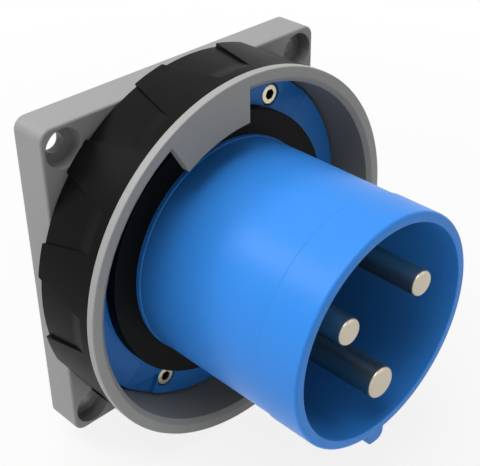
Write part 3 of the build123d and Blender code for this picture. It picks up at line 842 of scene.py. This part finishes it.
# Screws with crossed slots that hold the plate
rearScrew = {
    "circle": 37.8, "first": 30.0, "head": 2.6, "headBack": -3.5, "headFront": -1.5, "headSoft": 0.5,
    "shaft": 1.45, "shaftFront": 11.5, "shaftSoft": 0.4,
    "slot": 0.8, "slotLength": 3.9, "slotDepth": 1.0,
}


def buildCarrierScrews():
    s = rearScrew
    screw = turned("carrierScrew", [
        (0, s["headBack"]), (s["head"], s["headBack"], s["headSoft"]), (s["head"], s["headFront"]),
        (s["shaft"], s["headFront"]), (s["shaft"], s["shaftFront"], s["shaftSoft"]),
        (0, s["shaftFront"])], facets["screw"], (s["circle"], 0))
    slots = [prism("crossSlot", barOutline(s["circle"] - wide / 2, s["circle"] + wide / 2, high / 2),
                   s["headBack"] - past, s["headBack"] + s["slotDepth"])
             for wide, high in ((s["slotLength"], s["slot"]), (s["slot"], s["slotLength"]))]
    screw = combine(screw, slots, "DIFFERENCE")
    return roundAxis(screw, 3, s["first"], 120, materials["plated_screw"])


dress(buildCarrierScrews(), "carrier_screws", "housing", "plated_screw")

# Slotted clamping screws, two in each pin's barrel
clampScrew = {
    "radius": 3.0, "lineBottom": 3.74, "earthBottom": 4.1, "proud": 2.0, "slot": 1.2, "slotReach": 4.0,
    "slotDepth": 1.6, "edge": 0.3, "threadPitch": 1.0, "threadDepth": 0.3, "threadRunOut": 0.3,
}


def buildClampScrews(name, count, bottom):
    # a grub screw at each station of the pin's barrel, with its thread drawn as rings
    s = clampScrew
    top = pins[name]["barrel"] + s["proud"]
    core, pitch = s["radius"] - s["threadDepth"], s["threadPitch"]
    turns = int((top - bottom - s["slotDepth"]) / pitch)
    points = [(0, bottom), (core, bottom)]
    for k in range(turns):
        low = bottom + pitch * k
        points += [(s["radius"], low + pitch / 2), (core, low + pitch)]
    points += [(s["radius"], bottom + pitch * turns + s["threadRunOut"]),
               (s["radius"], top, s["edge"]), (0, top)]
    screw = turned("clampScrew", points, facets["screw"])
    slot = prism("clampSlot", barOutline(-s["slotReach"], s["slotReach"], s["slot"] / 2),
                 top - s["slotDepth"], top + past)
    screw = combine(screw, [slot], "DIFFERENCE")
    pair = []
    for station in contact["screwStations"]:
        copy = newPiece("clampScrew", screw.data.copy())
        copy.data.transform(standOnBarrel(station))
        pair.append(copy)
    bpy.data.objects.remove(screw)
    return roundAxis(merged(name + "Screws", pair), count, pins[name]["angle"], 120,
                     materials["plated_screw"])


# the line and neutral pins have the same barrel, so one pair of screws is copied to both
dress(merged("clampScrews", [buildClampScrews("line", 2, clampScrew["lineBottom"]),
                             buildClampScrews("earth", 1, clampScrew["earthBottom"])]),
      "terminal_screws", "housing", "plated_screw")
print("stage: contacts and screws built")

# CAD nodes that keep their own mesh
keptNodes = {
    "rubber_seal": ("insert_o_ring", "line_pin_o_rings", "earth_pin_o_ring"),
    "brass": ("screw_bushes", "line_pressure_pad", "neutral_pressure_pad", "earth_pressure_pad"),
}
for finish, nodes in keptNodes.items():
    for node in nodes:
        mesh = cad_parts[node].data
        mesh.materials.clear()
        mesh.materials.append(materials[finish])

# Floor, world and lights: distances in metres, power in watts
studio = {
    "floorGap": 0.4 * mm, "floorSize": 6.0, "floorColor": (0.9, 0.9, 0.9), "floorRoughness": 0.9,
    "floorLift": 0.85, "fadeStart": 0.1, "fadeEnd": 0.35, "worldLevel": 0.2, "skyLevel": 1.0,
    "lampAim": (0, -0.035, 0), "lampDistance": 0.8,
}
lamps = {
    "topLamp": dict(azimuth=-90.0, elevation=75.0, width=0.6, power=3.4),
    "backLeftLamp": dict(azimuth=-137.0, elevation=44.0, width=0.32, power=1.8),
    "backLamp": dict(azimuth=160.0, elevation=60.0, width=0.6, power=0.6),
    "rightLamp": dict(azimuth=45.0, elevation=40.0, width=0.6, power=0.4),
    "leftLamp": dict(azimuth=-80.0, elevation=20.0, width=0.6, power=0.2),
}


def whiteFor(nodes, links, shaded, lifted, output):
    # mixes in a plain white where the camera, a reflection or a view through something sees it
    path = nodes.new("ShaderNodeLightPath")
    seen = path.outputs["Is Camera Ray"]
    for ray in ("Is Glossy Ray", "Is Transmission Ray"):
        either = addMath(nodes, "MAXIMUM")
        links.new(seen, either.inputs[0])
        links.new(path.outputs[ray], either.inputs[1])
        seen = either.outputs[0]
    mix = nodes.new("ShaderNodeMixShader")
    links.new(shaded, mix.inputs[1])
    links.new(lifted, mix.inputs[2])
    links.new(mix.outputs[0], output)
    return seen, mix.inputs[0]


def floorMaterial():
    material = bpy.data.materials.new("studioFloor")
    material.use_nodes = True
    nodes, links = material.node_tree.nodes, material.node_tree.links
    shader = nodes["Principled BSDF"]
    shader.inputs["Base Color"].default_value = (*studio["floorColor"], 1)
    shader.inputs["Roughness"].default_value = studio["floorRoughness"]
    glow = nodes.new("ShaderNodeEmission")
    seen, share = whiteFor(nodes, links, shader.outputs[0], glow.outputs[0],
                           nodes["Material Output"].inputs["Surface"])
    # plain white away from the object, so that only its own shadow shows on the floor
    where = nodes.new("ShaderNodeTexCoord")
    reach = nodes.new("ShaderNodeVectorMath")
    reach.operation = "LENGTH"
    fade = addRange(nodes, studio["fadeStart"], studio["fadeEnd"], studio["floorLift"], 1.0)
    both = addMath(nodes, "MULTIPLY")
    links.new(where.outputs["Object"], reach.inputs[0])
    links.new(reach.outputs["Value"], fade.inputs["Value"])
    links.new(seen, both.inputs[0])
    links.new(fade.outputs[0], both.inputs[1])
    links.new(both.outputs[0], share)
    return material


def buildFloor():
    half = studio["floorSize"] / 2
    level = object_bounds()[0].z - studio["floorGap"]
    corners = [(-half, -half, level), (half, -half, level), (half, half, level), (-half, half, level)]
    mesh = bpy.data.meshes.new("studioFloor")
    mesh.from_pydata(corners, [], [(0, 1, 2, 3)])
    mesh.materials.append(floorMaterial())
    floor = newPiece("studioFloor", mesh)


def buildWorld():
    world = bpy.data.worlds.new("studio")
    scene.world = world
    world.use_nodes = True
    nodes, links = world.node_tree.nodes, world.node_tree.links
    light = nodes["Background"]
    sky = nodes.new("ShaderNodeBackground")
    for background, level in ((light, studio["worldLevel"]), (sky, studio["skyLevel"])):
        background.inputs["Color"].default_value = (1, 1, 1, 1)
        background.inputs["Strength"].default_value = level
    seen, share = whiteFor(nodes, links, light.outputs[0], sky.outputs[0],
                           nodes["World Output"].inputs["Surface"])
    links.new(seen, share)


def direction(azimuth, elevation):
    a, e = radians(azimuth), radians(elevation)
    return Vector((sin(a) * cos(e), -cos(a) * cos(e), sin(e)))


def buildLamps():
    for name, values in lamps.items():
        light = bpy.data.lights.new(name, "AREA")
        light.shape = "DISK"
        light.size = values["width"]
        light.energy = values["power"]
        lamp = newPiece(name, light)
        away = direction(values["azimuth"], values["elevation"])
        lamp.location = Vector(studio["lampAim"]) + away * studio["lampDistance"]
        lamp.rotation_euler = away.to_track_quat("Z", "Y").to_euler()


# Camera, fitted to the photograph's edges
shot = {
    "azimuth": -44.074, "elevation": 32.875, "roll": -0.66, "right": 22.419, "up": -6.487,
    "distance": 336.715, "focalPixels": 1052.646, "imageWidth": 480, "sensorWidth": 36,
    "clip": (0.01, 20),  # metres
}


def buildCamera():
    back = direction(shot["azimuth"], shot["elevation"])
    right = Vector((cos(radians(shot["azimuth"])), sin(radians(shot["azimuth"])), 0))
    up = back.cross(right)
    c, s = cos(radians(shot["roll"])), sin(radians(shot["roll"]))
    right, up = c * right + s * up, -s * right + c * up
    place = (right * shot["right"] + up * shot["up"] + back * shot["distance"]) * mm
    camera = bpy.data.cameras.new("camera")
    camera.sensor_width = shot["sensorWidth"]
    camera.lens = shot["focalPixels"] / shot["imageWidth"] * shot["sensorWidth"]
    camera.clip_start, camera.clip_end = shot["clip"]
    holder = newPiece("camera", camera)
    turn = Matrix((right, up, back)).transposed().to_4x4()
    holder.matrix_world = Matrix.Translation(place) @ turn
    scene.camera = holder


buildFloor()
buildWorld()
buildLamps()
buildCamera()
scene.view_settings.view_transform = "Standard"
print("stage: studio built")
